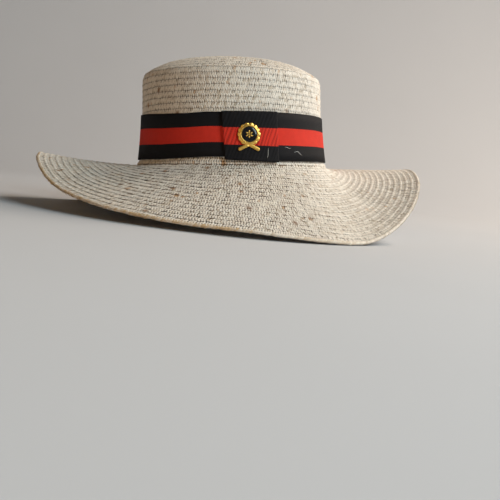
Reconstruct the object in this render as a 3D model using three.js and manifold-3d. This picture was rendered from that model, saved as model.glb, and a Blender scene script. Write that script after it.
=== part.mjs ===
// Wide-brimmed straw hat: a low boater crown and a drooping brim, sewn from braid in one piece, with a
// striped ribbon band, a folded ribbon keeper over the band's ends and a small gilt badge at the front.
// Millimetres, +Z up, the front of the hat towards -Y, at rest crown up on the edge of its brim.

import * as THREE from 'three';
import Module from 'manifold-3d';
import { mergeVertices } from 'three/addons/utils/BufferGeometryUtils.js';

// Straw body
const STRAW = 2;                  // thickness of the sewn braid
const BASE_HALF_WIDTH = 83;       // outside of the crown where it meets the brim, across
const BASE_HALF_LENGTH = 102;     // the same, front to back
const TIP_TILT = 1.5;             // degrees by which the tip falls towards the wearer's left
const TIP_SHIFT = 1.1;            // and by which the top sits towards the wearer's right
const BRIM_WIDTH = 92;            // along the straw, from the crown's base to the edge
const TURN_RUN = 10;              // length of straw that turns from the wall to the brim
const WALL_SLOPE = 80;            // degrees below level at which that turn starts
const TURN_FLARE = 0.22;          // by which the straw widens for each millimetre below the base
const AZIMUTH_STEPS = 72;         // facets round the hat

// The crown from the middle of the tip down to its base: how far each ring lies inside the base's
// oval, and its height over the base.
const CROWN_SECTIONS = [
  { inset: 69.5, height: 86.4 },
  { inset: 51.5, height: 85.6 },
  { inset: 33.5, height: 84.2 },
  { inset: 21.5, height: 81.2 },
  { inset: 14.5, height: 78 },
  { inset: 9.5, height: 75.3 },
  { inset: 6.3, height: 73 },
  { inset: 4.5, height: 70.4 },
  { inset: 3.7, height: 66.5 },
  { inset: 3.5, height: 58 },
  { inset: 3, height: 36 },
  { inset: 1.9, height: 18 },
  { inset: 0, height: 0 },
];

// The brim, a section every 20 degrees from the back: its slope in degrees below level where it leaves
// the crown and at its edge. It hangs at the front and back and lifts at the sides.
const BRIM_SECTIONS = [
  { azimuth: -180, inner: 28, outer: 29 },
  { azimuth: -160, inner: 22, outer: 22 },
  { azimuth: -140, inner: 20, outer: 20 },
  { azimuth: -120, inner: 20, outer: 19 },
  { azimuth: -100, inner: -1, outer: -10 },
  { azimuth: -80, inner: -2, outer: -4 },
  { azimuth: -60, inner: 11, outer: 12 },
  { azimuth: -40, inner: 21, outer: 22 },
  { azimuth: -20, inner: 29, outer: 29 },
  { azimuth: 0, inner: 35, outer: 34 },
  { azimuth: 20, inner: 43, outer: 39 },
  { azimuth: 40, inner: 53, outer: 35 },
  { azimuth: 60, inner: 53, outer: 9 },
  { azimuth: 80, inner: 25, outer: -10 },
  { azimuth: 100, inner: 2, outer: -1 },
  { azimuth: 120, inner: 15, outer: 18 },
  { azimuth: 140, inner: 34, outer: 37 },
  { azimuth: 160, inner: 33, outer: 36 },
];

// Distances along the brim at which it has a ring of corners; the turn at the crown is closer set.
const BRIM_RUNS = [3, 6, 10, 16, 24, 33, 43, 53, 63, 73, 83, BRIM_WIDTH];
const RUN_STEP = 0.5;             // step with which the brim's section is walked

// The hat stands on three places of its brim, so its crown leans this far out of plumb.
const REST_LEAN_SIDE = 5.56;      // degrees towards the wearer's right
const REST_LEAN_BACK = 1.55;      // degrees towards the back

// Ribbon
const GAP = 0.3;                  // between neighbouring pieces
const RIBBON = 1;                 // thickness of the grosgrain
const BAND_END_GAP = 0.5;         // between the two ends, under the keeper
const BAND_ROWS = 3;              // facets over the band's width

// The band's edges as heights over the crown's base, from its first end at the front round by the
// wearer's left to its second end. It has slackened before the keeper, where its upper edge dips.
const BAND_EDGES = [
  { azimuth: 0, bottom: -2, top: 37.3 },
  { azimuth: 25, bottom: -1.9, top: 37.7 },
  { azimuth: 50, bottom: -1.3, top: 38.2 },
  { azimuth: 90, bottom: -1, top: 37.6 },
  { azimuth: 180, bottom: -0.4, top: 37.6 },
  { azimuth: 270, bottom: -0.4, top: 37.9 },
  { azimuth: 290, bottom: -0.75, top: 37 },
  { azimuth: 308, bottom: -1, top: 35.7 },
  { azimuth: 326, bottom: 0, top: 35.4 },
  { azimuth: 338, bottom: 0.7, top: 36.4 },
  { azimuth: 365, bottom: 1, top: 36.5 },
];

const KEEPER_WIDTH = 44.2;        // across the front
const KEEPER_LEAN = 3;            // by which its fold at the wearer's right leans out at the top

// The keeper's edges as heights over the crown's base, at its two folds.
const KEEPER_RIGHT = { bottom: -1.5, top: 36.8 };
const KEEPER_LEFT = { bottom: -3, top: 37.9 };
const KEEPER_HEIGHT_SHARES = [1, 0.52, 0.06, 0];   // rows of corners between the edges
const KEEPER_SLOT = 0.6;          // between the two layers of the flat loop
const KEEPER_CENTRE = 4.2;        // towards the wearer's left from the front
const KEEPER_ALONG_STEPS = 10;
const KEEPER_FOLD_STEPS = 5;

// Badge
const BADGE_ACROSS = 2.2;         // towards the wearer's left from the front
const BADGE_HEIGHT = 18.7;        // of its centre over the crown's base
const ROSETTE_RADIUS = 9.4;       // to the tops of the scallops
const SCALLOP_DEPTH = 0.7;
const SCALLOPS = 14;
const SCALLOP_POINTS = 6;
const PLATE_THICKNESS = 1;
const PLATE_BEVEL = 0.2;
const RING_RADIUS = 6.9;
const RING_SECTION_RADIUS = 0.75;
const RING_SECTION_SIDES = 8;
const ROUND_SIDES = 40;           // facets of the badge's round outlines
const ENAMEL_RADIUS = 6;
const ENAMEL_RECESS = 0.5;        // depth of its seat in the plate
const ENAMEL_THICKNESS = 0.6;
const ENAMEL_CHAMFER = 0.15;
const TAIL_ROOT = 8;              // below the rosette's centre, where the two tails meet
const TAIL_LENGTH = 9.6;          // from there to the round tips
const TAIL_WIDTH = 2.8;
const TAIL_ANGLE = 63;            // degrees from straight down
const TAIL_TIP_STEPS = 4;         // facets of each round tip
const TAIL_THICKNESS = 0.8;

const CROWN_HEIGHT = CROWN_SECTIONS[0].height;
const radians = THREE.MathUtils.degToRad;

// Skins closed sections that follow one another round a path. Each section is a list of points that
// runs down its outer side and back up its inner side, and neighbours have equal lists. An open path
// gets a cap at either end.
function loft(sections, closed) {
  const count = sections[0].length;
  const corners = sections.flat().flatMap((point) => point.toArray());
  const faces = [];
  const last = closed ? sections.length : sections.length - 1;
  for (let i = 0; i < last; i += 1) {
    const here = i * count;
    const next = ((i + 1) % sections.length) * count;
    for (let j = 0; j < count; j += 1) {
      const k = (j + 1) % count;
      faces.push(here + j, here + k, next + k, here + j, next + k, next + j);
    }
  }
  if (!closed) {
    const end = (sections.length - 1) * count;
    for (let j = 0; j < count / 2 - 1; j += 1) {
      const [a, b, c, d] = [j, j + 1, count - 2 - j, count - 1 - j];
      faces.push(c, b, a, d, c, a);
      faces.push(end + a, end + b, end + c, end + a, end + c, end + d);
    }
  }
  const geometry = new THREE.BufferGeometry();
  geometry.setAttribute('position', new THREE.Float32BufferAttribute(corners, 3));
  geometry.setIndex(faces);
  return withoutSlivers(mergeVertices(geometry));
}

// Drops the faces that a shared corner, such as the middle of the tip, has closed up.
function withoutSlivers(geometry) {
  const index = geometry.index.array;
  const kept = [];
  for (let i = 0; i < index.length; i += 3) {
    const [a, b, c] = [index[i], index[i + 1], index[i + 2]];
    if (a !== b && b !== c && c !== a) kept.push(a, b, c);
  }
  geometry.setIndex(kept);
  return geometry;
}

// A point of an oval at an azimuth counted from the front towards the wearer's left, and the way out
// of the oval there.
function oval(azimuth, halfWidth, halfLength) {
  const sine = Math.sin(azimuth);
  const cosine = Math.cos(azimuth);
  return {
    point: new THREE.Vector3(halfWidth * sine, -halfLength * cosine, 0),
    outward: new THREE.Vector3(sine / halfWidth, -cosine / halfLength, 0).normalize(),
  };
}

// The crown's top sits a little aside and falls to one side, the more the higher up.
function slumped(point) {
  const share = point.z / CROWN_HEIGHT;
  const x = point.x - TIP_SHIFT * share;
  return new THREE.Vector3(x, point.y, point.z - Math.tan(radians(TIP_TILT)) * x * share);
}

function crownPoint(azimuth, inset, height) {
  const { point } = oval(azimuth, BASE_HALF_WIDTH - inset, BASE_HALF_LENGTH - inset);
  return slumped(point.setZ(height));
}

// How far the wall lies inside the base's oval at a height.
function wallInset(height) {
  const above = CROWN_SECTIONS.findLastIndex((section) => section.height > height);
  const upper = CROWN_SECTIONS[above];
  const lower = CROWN_SECTIONS[Math.min(above + 1, CROWN_SECTIONS.length - 1)];
  if (upper === lower || height < 0) return TURN_FLARE * height;
  const share = (height - lower.height) / (upper.height - lower.height);
  return THREE.MathUtils.lerp(lower.inset, upper.inset, share);
}

// A point that stands off the wall's outside.
function offWall(azimuth, height, distance) {
  const { outward } = oval(azimuth, BASE_HALF_WIDTH, BASE_HALF_LENGTH);
  return crownPoint(azimuth, wallInset(height), height).addScaledVector(outward, distance);
}

const brimSlopes = new THREE.CatmullRomCurve3(
  BRIM_SECTIONS.map((section) => new THREE.Vector3(section.inner, section.outer, 0)),
  true,
  'catmullrom',
  0.5,
);

// Walks the brim's section outwards at an azimuth and keeps the points at the listed runs.
function brimLine(azimuth) {
  const { point, outward } = oval(azimuth, BASE_HALF_WIDTH, BASE_HALF_LENGTH);
  const slopes = brimSlopes.getPoint((azimuth / (2 * Math.PI) + 0.5) % 1);
  const kept = [];
  let out = 0;
  let down = 0;
  for (let run = RUN_STEP; run <= BRIM_WIDTH; run += RUN_STEP) {
    const middle = run - RUN_STEP / 2;
    const turned = THREE.MathUtils.smoothstep(middle, 0, TURN_RUN);
    const free = THREE.MathUtils.lerp(slopes.x, slopes.y, middle / BRIM_WIDTH);
    const slope = radians(THREE.MathUtils.lerp(WALL_SLOPE, free, turned));
    out += RUN_STEP * Math.cos(slope);
    down += RUN_STEP * Math.sin(slope);
    if (BRIM_RUNS.includes(run)) kept.push(point.clone().addScaledVector(outward, out).setZ(-down));
  }
  return kept;
}

function azimuthAt(step) {
  return (2 * Math.PI * step) / AZIMUTH_STEPS;
}

// Crown and brim: the outside is laid out ring by ring, and the inside lies one straw's thickness in
// from it along the surface's own normals.
function strawGeometry() {
  const tip = slumped(new THREE.Vector3(0, 0, CROWN_HEIGHT));
  const innerTip = tip.clone().setZ(tip.z - STRAW);
  const outside = [];
  for (let i = 0; i < AZIMUTH_STEPS; i += 1) {
    const azimuth = azimuthAt(i);
    const crown = CROWN_SECTIONS.map((section) => crownPoint(azimuth, section.inset, section.height));
    outside.push([...crown, ...brimLine(azimuth)]);
  }
  const sections = outside.map((line, i) => {
    const before = outside[(i + AZIMUTH_STEPS - 1) % AZIMUTH_STEPS];
    const after = outside[(i + 1) % AZIMUTH_STEPS];
    const inside = line.map((point, j) => {
      const round = after[j].clone().sub(before[j]);
      const upper = j > 0 ? line[j - 1] : tip;
      const lower = line[Math.min(j + 1, line.length - 1)];
      const normal = lower.clone().sub(upper).cross(round).normalize();
      return point.clone().addScaledVector(normal, -STRAW);
    });
    return [tip, ...line, ...inside.reverse(), innerTip];
  });
  return loft(sections, true);
}

// The band's lower and upper edge at an azimuth, in a straight line between the table's rows.
function bandEdges(azimuth) {
  const degrees = THREE.MathUtils.radToDeg(azimuth);
  const after = BAND_EDGES.findIndex((row) => row.azimuth > degrees);
  const [here, next] = [BAND_EDGES[after - 1], BAND_EDGES[after]];
  const share = (degrees - here.azimuth) / (next.azimuth - here.azimuth);
  return {
    bottom: THREE.MathUtils.lerp(here.bottom, next.bottom, share),
    top: THREE.MathUtils.lerp(here.top, next.top, share),
  };
}

function bandGeometry() {
  const endAngle = BAND_END_GAP / 2 / BASE_HALF_WIDTH;
  const centre = Math.asin(KEEPER_CENTRE / BASE_HALF_WIDTH);
  const start = centre + endAngle;
  const finish = centre + 2 * Math.PI - endAngle;
  const between = [];
  for (let i = 0; i <= AZIMUTH_STEPS; i += 1) {
    const azimuth = azimuthAt(i);
    if (azimuth > start && azimuth < finish) between.push(azimuth);
  }
  const sections = [start, ...between, finish].map((azimuth) => {
    const { bottom, top } = bandEdges(azimuth);
    const side = (distance) => Array.from(
      { length: BAND_ROWS + 1 },
      (_, row) => offWall(azimuth, THREE.MathUtils.lerp(top, bottom, row / BAND_ROWS), distance),
    );
    return [...side(GAP + RIBBON), ...side(GAP).reverse()];
  });
  return loft(sections, false);
}

// The keeper is a ribbon loop pressed flat: an outer and an inner layer joined by two round folds.
// Each station of the loop gives its place across the front, its distance off the wall, and the way
// out of the loop as (across, off the wall).
function keeperStations() {
  const layer = (KEEPER_SLOT + RIBBON) / 2;
  const middle = GAP + RIBBON + GAP + RIBBON + KEEPER_SLOT / 2;
  const straight = KEEPER_WIDTH / 2 - layer - RIBBON / 2;
  const stations = [];
  for (const side of [1, -1]) {
    for (let i = 0; i <= KEEPER_ALONG_STEPS; i += 1) {
      const across = side * straight * ((2 * i) / KEEPER_ALONG_STEPS - 1);
      stations.push({ across, off: middle + side * layer, outAcross: 0, outOff: side });
    }
    for (let i = 1; i < KEEPER_FOLD_STEPS; i += 1) {
      const angle = (Math.PI * i) / KEEPER_FOLD_STEPS;
      const outAcross = side * Math.sin(angle);
      const outOff = side * Math.cos(angle);
      const across = side * straight + layer * outAcross;
      stations.push({ across, off: middle + layer * outOff, outAcross, outOff });
    }
  }
  return stations;
}

function keeperGeometry() {
  const sections = keeperStations().map((station) => {
    const side = (half) => KEEPER_HEIGHT_SHARES.map((share) => {
      const across = station.across + half * station.outAcross;
      const toLeft = 0.5 + across / KEEPER_WIDTH;
      const bottom = THREE.MathUtils.lerp(KEEPER_RIGHT.bottom, KEEPER_LEFT.bottom, toLeft);
      const top = THREE.MathUtils.lerp(KEEPER_RIGHT.top, KEEPER_LEFT.top, toLeft);
      const height = THREE.MathUtils.lerp(bottom, top, share);
      const lean = KEEPER_LEAN * (0.5 - share) * (1 - toLeft);
      const azimuth = Math.asin((KEEPER_CENTRE + across + lean) / BASE_HALF_WIDTH);
      return offWall(azimuth, height, station.off + half * station.outOff);
    });
    return [...side(RIBBON / 2), ...side(-RIBBON / 2).reverse()];
  });
  return loft(sections, true);
}

const wasm = await Module();
wasm.setup();

function toSolid(geometry) {
  const bare = geometry.clone();
  bare.deleteAttribute('normal');
  bare.deleteAttribute('uv');
  const merged = mergeVertices(bare);
  return new wasm.Manifold(new wasm.Mesh({
    numProp: 3,
    vertProperties: new Float32Array(merged.attributes.position.array),
    triVerts: new Uint32Array(merged.index.array),
  }));
}

function toGeometry(solid) {
  const mesh = solid.getMesh();
  const geometry = new THREE.BufferGeometry();
  geometry.setAttribute('position', new THREE.Float32BufferAttribute(mesh.vertProperties, 3));
  geometry.setIndex(Array.from(mesh.triVerts));
  return geometry;
}

// A disc or ring turned about the badge's own axis, +Z out of its face.
function turned(profile) {
  const points = profile.map(([radius, height]) => new THREE.Vector2(radius, height));
  return new THREE.LatheGeometry(points, ROUND_SIDES).rotateX(Math.PI / 2);
}

function rosetteShape() {
  const steps = SCALLOPS * SCALLOP_POINTS;
  const points = Array.from({ length: steps }, (_, i) => {
    const angle = (2 * Math.PI * i) / steps;
    const lobe = Math.abs(Math.cos((SCALLOPS * angle) / 2));
    const radius = ROSETTE_RADIUS - SCALLOP_DEPTH * (1 - Math.sqrt(lobe));
    return new THREE.Vector2(radius * Math.cos(angle), radius * Math.sin(angle));
  });
  return new THREE.Shape(points);
}

function tailGeometry(side) {
  const half = TAIL_WIDTH / 2;
  const tail = new THREE.Shape();
  tail.moveTo(half, 0);
  tail.lineTo(-half, 0);
  tail.absarc(0, half - TAIL_LENGTH, half, Math.PI, 2 * Math.PI, false);
  tail.closePath();
  const geometry = new THREE.ExtrudeGeometry(tail, {
    depth: TAIL_THICKNESS,
    bevelEnabled: false,
    curveSegments: TAIL_TIP_STEPS,
  });
  return geometry.rotateZ(side * radians(TAIL_ANGLE)).translate(0, -TAIL_ROOT, 0);
}

// One gilt piece: scalloped plate, raised ring and two tails, with a round seat for the enamel.
function rosetteGeometry() {
  const plate = new THREE.ExtrudeGeometry(rosetteShape(), {
    depth: PLATE_THICKNESS - 2 * PLATE_BEVEL,
    bevelThickness: PLATE_BEVEL,
    bevelSize: PLATE_BEVEL,
    bevelOffset: -PLATE_BEVEL,
    bevelSegments: 1,
  }).translate(0, 0, PLATE_BEVEL);
  const ring = new THREE.TorusGeometry(RING_RADIUS, RING_SECTION_RADIUS, RING_SECTION_SIDES, ROUND_SIDES);
  ring.translate(0, 0, PLATE_THICKNESS);
  const seatRadius = ENAMEL_RADIUS + GAP;
  const floor = PLATE_THICKNESS - ENAMEL_RECESS;
  const clear = PLATE_THICKNESS + 2 * RING_SECTION_RADIUS;
  const seat = turned([[0, floor], [seatRadius, floor], [seatRadius, clear], [0, clear]]);
  return toGeometry(
    toSolid(plate)
      .add(toSolid(ring))
      .add(toSolid(tailGeometry(1)))
      .add(toSolid(tailGeometry(-1)))
      .subtract(toSolid(seat)),
  );
}

function enamelGeometry() {
  const back = PLATE_THICKNESS - ENAMEL_RECESS + GAP;
  const front = back + ENAMEL_THICKNESS;
  return turned([
    [0, back],
    [ENAMEL_RADIUS, back],
    [ENAMEL_RADIUS, front - ENAMEL_CHAMFER],
    [ENAMEL_RADIUS - ENAMEL_CHAMFER, front],
    [0, front],
  ]);
}

function piece(name, geometry, color, roughness, metalness) {
  const material = new THREE.MeshStandardMaterial({ color, roughness, metalness });
  const mesh = new THREE.Mesh(geometry, material);
  mesh.name = name;
  return mesh;
}

// The badge lies against the keeper's outer layer, at the front and square to the wall there.
function badge() {
  const off = 3 * GAP + 3 * RIBBON + KEEPER_SLOT;
  const group = new THREE.Group();
  const azimuth = Math.asin(BADGE_ACROSS / BASE_HALF_WIDTH);
  const { outward } = oval(azimuth, BASE_HALF_WIDTH, BASE_HALF_LENGTH);
  const foot = offWall(azimuth, BADGE_HEIGHT, off);
  const above = offWall(azimuth, BADGE_HEIGHT + ROSETTE_RADIUS, off);
  const below = offWall(azimuth, BADGE_HEIGHT - ROSETTE_RADIUS, off);
  const across = new THREE.Vector3(-outward.y, outward.x, 0);
  const facing = across.clone().cross(above.sub(below)).normalize();
  const upWall = facing.clone().cross(across);
  group.quaternion.setFromRotationMatrix(new THREE.Matrix4().makeBasis(across, upWall, facing));
  group.position.copy(foot);
  group.add(piece('badge_rosette', rosetteGeometry(), 0xc79a3b, 0.3, 1));
  group.add(piece('badge_enamel', enamelGeometry(), 0x0b0b0c, 0.25, 0));
  return group;
}

const hat = new THREE.Group();
hat.add(piece('straw_body', strawGeometry(), 0xd8cbb6, 0.85, 0));
hat.add(piece('hat_band', bandGeometry(), 0x151417, 0.8, 0));
hat.add(piece('band_keeper', keeperGeometry(), 0x17161a, 0.8, 0));
hat.add(badge());
hat.rotation.set(-radians(REST_LEAN_BACK), -radians(REST_LEAN_SIDE), 0);

// The lowest point of the brim's edge stands on the floor, and the hat is centred over the origin.
const box = new THREE.Box3().setFromObject(hat, true);
const middle = box.getCenter(new THREE.Vector3());
hat.position.set(-middle.x, -middle.y, -box.min.z);

const object = new THREE.Group();
object.add(hat);
object.updateMatrixWorld(true);

export default object;
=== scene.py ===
"""Looks of a wide-brimmed straw hat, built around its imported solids.

The straw is a core wall dressed with rows of two-strand plait, the band and keeper are ribbed ribbon,
and the badge is gilt with a black enamel disc. Tables and form functions work in millimetres in the
hat's own frame, with the crown's base at the origin; every mesh is placed in metres in the row's frame.
"""

import math
from typing import NamedTuple

import bpy
import numpy as np
from bpy.props import FloatProperty, FloatVectorProperty, IntProperty, PointerProperty
from mathutils import Matrix, Vector


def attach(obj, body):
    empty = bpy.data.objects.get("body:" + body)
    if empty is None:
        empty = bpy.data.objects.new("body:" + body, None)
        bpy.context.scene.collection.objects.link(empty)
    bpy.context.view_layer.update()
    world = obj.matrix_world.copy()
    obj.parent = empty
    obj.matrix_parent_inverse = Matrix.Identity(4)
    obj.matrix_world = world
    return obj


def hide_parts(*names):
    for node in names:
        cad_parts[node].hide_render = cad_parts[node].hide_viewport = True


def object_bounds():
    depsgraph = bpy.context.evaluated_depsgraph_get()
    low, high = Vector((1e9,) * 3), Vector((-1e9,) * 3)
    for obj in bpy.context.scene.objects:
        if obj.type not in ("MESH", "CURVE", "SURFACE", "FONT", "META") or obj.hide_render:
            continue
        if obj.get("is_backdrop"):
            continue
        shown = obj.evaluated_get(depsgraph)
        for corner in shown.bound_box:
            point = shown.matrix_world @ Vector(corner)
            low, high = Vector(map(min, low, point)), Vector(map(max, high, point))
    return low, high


bl_info = {
    "name": "Straw hat looks",
    "version": (1, 0, 0),
    "blender": (4, 5, 0),
    "location": "3D View > Sidebar > Straw hat",
    "description": "Builds the plaited straw, ribbed ribbon and gilt badge of a straw hat around its solids",
    "category": "Object",
}

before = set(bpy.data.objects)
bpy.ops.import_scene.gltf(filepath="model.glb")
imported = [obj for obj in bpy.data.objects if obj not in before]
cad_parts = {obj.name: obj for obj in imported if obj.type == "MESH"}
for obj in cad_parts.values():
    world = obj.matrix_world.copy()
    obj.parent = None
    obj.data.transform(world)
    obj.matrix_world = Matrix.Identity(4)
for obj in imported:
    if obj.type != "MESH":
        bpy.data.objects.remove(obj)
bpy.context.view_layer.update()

MM = 0.001
STRAW = 2.0  # thickness of the sewn braid
HALF_WIDTH, HALF_LENGTH = 83.0, 102.0  # the crown's outside where it meets the brim
TIP_TILT = 1.5  # degrees that the tip falls towards the wearer's left
TIP_SHIFT = 1.1  # how far it sits towards the wearer's right
BRIM_WIDTH = 92.0  # along the straw
TURN_RUN, WALL_SLOPE = 10.0, 80.0  # length of the turn from wall to brim, and its first slope in degrees
TURN_FLARE = 0.22  # run outwards of the ribbons for each millimetre below the crown's base
RUN_STEP = 0.5  # step of the brim's sections along the straw
PROFILE_STEPS = 40  # points between neighbouring sections of the crown
ROUND_STEPS = 360  # points on each line round the hat
FRAME_REACH = 0.5  # half the length over which the straw's slope is taken

# The crown from its base to the middle of the tip: (height over the base, inset from the base's oval).
CROWN_SECTIONS = (
    (0, 0), (18, 1.9), (36, 3), (58, 3.5), (66.5, 3.7), (70.4, 4.5), (73, 6.3), (75.3, 9.5),
    (78, 14.5), (81.2, 21.5), (84.2, 33.5), (85.6, 51.5), (86.4, 69.5), (86.6, 82.6),
)
CROWN_HEIGHT = 86.4

# The brim every 20 degrees from the back: (slope below level at the crown, slope at the edge), degrees.
BRIM_SECTIONS = (
    (28, 29), (22, 22), (20, 20), (20, 19), (-1, -10), (-2, -4), (11, 12), (21, 22), (29, 29),
    (35, 34), (43, 39), (53, 35), (53, 9), (25, -10), (2, -1), (15, 18), (34, 37), (33, 36),
)

# The hat leans on the three places of its brim that it stands on.
LEAN_BACK, LEAN_SIDE = math.radians(-1.55), math.radians(-5.56)
LEAN = np.array(Matrix.Rotation(LEAN_BACK, 3, "X") @ Matrix.Rotation(LEAN_SIDE, 3, "Y"))
SEAT = np.array((-0.22743, -1.05577, 54.85144))  # the crown's base over the floor

RIBBON_GAP, RIBBON_PLY = 0.3, 1.0  # the room under a ribbon and its thickness
RIBBON_EASE = 0.1  # room left to the solid at the band's hidden face and at both faces of the keeper
BAND_END_GAP = 0.5
BAND_EDGES = (  # (azimuth from the front in degrees, lower edge, upper edge), heights over the crown's base
    (0, -2, 37.3), (25, -1.9, 37.7), (50, -1.3, 38.2), (90, -1, 37.6), (180, -0.4, 37.6), (270, -0.4, 37.9),
    (290, -0.75, 37), (308, -1, 35.7), (326, 0, 35.4), (338, 0.7, 36.4), (365, 1, 36.5))
KEEPER_BOTTOM, KEEPER_TOP = (-1.5, -3.0), (36.8, 37.9)  # at the wearer's right and left fold
KEEPER_CENTRE, KEEPER_LEAN, KEEPER_SLOT = 4.2, 3.0, 0.6
BADGE_ACROSS, BADGE_HEIGHT, BADGE_OFF, BADGE_RADIUS = 2.2, 18.7, 4.5, 9.4


# Form of the hat

def placed(points):
    """Hat frame in millimetres to row frame in metres."""
    return (points @ LEAN.T + SEAT) * MM


def unit(vectors):
    return vectors / np.linalg.norm(vectors, axis=-1, keepdims=True)


def run_along(points):
    """How far along a line each of its points lies."""
    return np.concatenate([[0], np.cumsum(np.linalg.norm(np.diff(points, axis=0), axis=1))])


def smooth_through(knots, steps):
    """A smooth line through the knots with that many points between neighbours."""
    along = run_along(knots)
    slope = np.gradient(knots, along, axis=0)
    at = np.linspace(0, along[-1], steps * (len(knots) - 1) + 1)
    i = np.clip(np.searchsorted(along, at, "right") - 1, 0, len(knots) - 2)
    span = (along[i + 1] - along[i])[:, None]
    u = (at - along[i])[:, None] / span
    return (
        knots[i] * (1 + 2 * u) * (1 - u) ** 2
        + slope[i] * span * u * (1 - u) ** 2
        + knots[i + 1] * u * u * (3 - 2 * u)
        + slope[i + 1] * span * u * u * (u - 1)
    )


PROFILE = smooth_through(np.array(CROWN_SECTIONS, float), PROFILE_STEPS)
PROFILE_ARC = run_along(PROFILE)
CROWN_LENGTH = float(PROFILE_ARC[-1])


def oval(azimuth, inset):
    """Points of the oval that lies inside the base's, at azimuths counted from the front."""
    x = (HALF_WIDTH - inset) * np.sin(azimuth)
    y = -(HALF_LENGTH - inset) * np.cos(azimuth)
    return np.stack([x, y, np.zeros_like(x)], -1)


def outward(azimuth):
    return unit(np.stack(
        [np.sin(azimuth) / HALF_WIDTH, -np.cos(azimuth) / HALF_LENGTH, np.zeros_like(azimuth)], -1))


def crown_points(azimuth, inset, height):
    """The crown's outside, whose top sits a little aside and falls to one side."""
    points = oval(azimuth, inset)
    share = height / CROWN_HEIGHT
    points[..., 0] -= TIP_SHIFT * share
    points[..., 2] = height - math.tan(math.radians(TIP_TILT)) * points[..., 0] * share
    return points


def off_wall(azimuth, height, distance):
    """Points that stand off the crown's wall."""
    azimuth, height, distance = np.broadcast_arrays(
        np.asarray(azimuth, float), np.asarray(height, float), np.asarray(distance, float))
    inset = np.interp(height, PROFILE[:, 0], PROFILE[:, 1]) + TURN_FLARE * np.minimum(height, 0)
    return crown_points(azimuth, inset, height) + outward(azimuth) * distance[..., None]


def brim_section(azimuth):
    """How far out and down the brim reaches at every step of its run, at each azimuth."""
    table = np.array(BRIM_SECTIONS, float)
    at = (azimuth / (2 * np.pi) + 0.5) % 1 * len(table)
    i, t = np.floor(at).astype(int), (at % 1)[:, None]
    p0, p1, p2, p3 = (table[(i + k) % len(table)] for k in (-1, 0, 1, 2))
    slopes = p1 + 0.5 * t * (
        p2 - p0 + t * (2 * p0 - 5 * p1 + 4 * p2 - p3 + t * (3 * (p1 - p2) + p3 - p0)))
    middle = np.arange(RUN_STEP / 2, BRIM_WIDTH, RUN_STEP)
    turn = np.clip(middle / TURN_RUN, 0, 1)
    turn = turn * turn * (3 - 2 * turn)
    free = slopes[:, :1] + (slopes[:, 1:] - slopes[:, :1]) * middle / BRIM_WIDTH
    slope = np.radians(WALL_SLOPE + (free - WALL_SLOPE) * turn)
    start = np.zeros((len(azimuth), 1))
    return (np.hstack([start, np.cumsum(np.cos(slope), 1) * RUN_STEP]),
            np.hstack([start, np.cumsum(np.sin(slope), 1) * RUN_STEP]))


AZIMUTHS = np.linspace(0, 2 * np.pi, ROUND_STEPS, endpoint=False)
BRIM_OUT, BRIM_DOWN = brim_section(AZIMUTHS)


def ring(place):
    """A line round the hat: place counts along the straw, negative up the crown, positive out the brim."""
    if place <= 0:
        height, inset = (np.interp(-place, PROFILE_ARC, PROFILE[:, k]) for k in (0, 1))
        return crown_points(AZIMUTHS, inset, height)
    step = place / RUN_STEP
    i = min(int(step), BRIM_OUT.shape[1] - 2)
    out, down = (rows[:, i] + (rows[:, i + 1] - rows[:, i]) * (step - i) for rows in (BRIM_OUT, BRIM_DOWN))
    points = oval(AZIMUTHS, 0) + outward(AZIMUTHS) * out[:, None]
    points[:, 2] = -down
    return points


def ring_frame(place):
    """That line with the outside's normal and the way down the straw at each point."""
    here = ring(place)
    after, before = min(place + FRAME_REACH, BRIM_WIDTH), max(place - FRAME_REACH, -CROWN_LENGTH)
    down = unit(ring(after) - ring(before))
    normal = unit(np.cross(down, np.roll(here, -1, 0) - np.roll(here, 1, 0)))
    return here, normal, down


# Meshes

def new_object(name, data):
    piece = bpy.data.objects.new(name, data)
    bpy.context.scene.collection.objects.link(piece)
    return piece


def mesh_of(name, points, faces, edges=()):
    mesh = bpy.data.meshes.new(name)
    mesh.from_pydata(np.asarray(points, float).tolist(), edges, [list(map(int, f)) for f in faces])
    mesh.polygons.foreach_set("use_smooth", [True] * len(mesh.polygons))
    mesh.update()
    return mesh


def point_data(mesh, name, values):
    """Keeps one number or vector for each point of a mesh."""
    values = np.asarray(values, np.float32)
    vector = values.ndim == 2
    layer = mesh.attributes.new(name, "FLOAT_VECTOR" if vector else "FLOAT", "POINT")
    layer.data.foreach_set("vector" if vector else "value", values.ravel())


def skin(sections, closed_round=True, closed_along=False):
    """Faces between neighbouring sections of equal count, which are closed lines if closed_round."""
    count, many = sections.shape[1], sections.shape[0]
    i = np.arange(many if closed_along else many - 1)[:, None]
    j = np.arange(count if closed_round else count - 1)[None]
    k, n = (i + 1) % many, (j + 1) % count
    return np.stack([i * count + j, i * count + n, k * count + n, k * count + j], -1).reshape(-1, 4)


def end_faces(count, start, offset):
    """Faces across a closed line of points, each between two points and their mirrored mates.

    offset is 0 where the first point lies on the mirror, and 1 where the first and last are mates."""
    faces = []
    for i in range(count // 2):
        order = (i, i + 1, (count - i - 1 - offset) % count, (count - i - offset) % count)
        corners = list(dict.fromkeys(start + corner for corner in order))
        if len(corners) > 2:
            faces.append(corners)
    return faces


def turned_over(faces):
    return [face[::-1] for face in faces]


def capped(sections, offset):
    """Faces along closed sections, and across the first and the last of them."""
    many, count = sections.shape[:2]
    last_end = end_faces(count, (many - 1) * count, offset)
    return end_faces(count, 0, offset) + turned_over(skin(sections).tolist() + last_end)


def joined(parts):
    """The points and faces of several shapes as those of one."""
    points, faces, count = [], [], 0
    for some_points, some_faces in parts:
        points.append(some_points)
        faces += [[corner + count for corner in face] for face in some_faces]
        count += len(some_points)
    return np.concatenate(points), faces


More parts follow.
